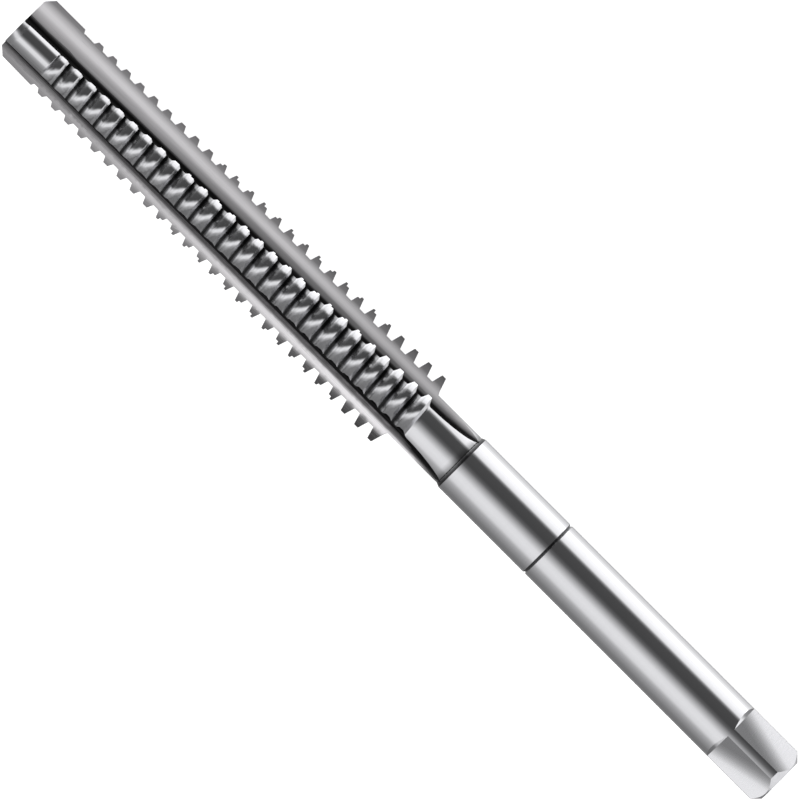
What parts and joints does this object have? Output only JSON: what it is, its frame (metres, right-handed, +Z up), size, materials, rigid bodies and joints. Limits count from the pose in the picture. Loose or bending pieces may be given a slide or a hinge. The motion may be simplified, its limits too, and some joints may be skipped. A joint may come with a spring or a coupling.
{
  "type": "trapezoidal thread tap",
  "caption": "Long fluted trapezoidal thread tap with a plain pilot, a reduced neck, a round shank with a ring groove and a driving square.",
  "frame": {"origin": "middle of the rear end face, on the tap's axis", "axes": "+X along the axis, out of the rear end; +Z up, with the tap lying on the teeth beside one flute"},
  "size_m": [0.224, 0.0204, 0.0188],
  "materials": {
    "steel": "bright ground high-speed steel"
  },
  "bodies": {
    "root": {"tap": "steel"}
  },
  "joints": []
}
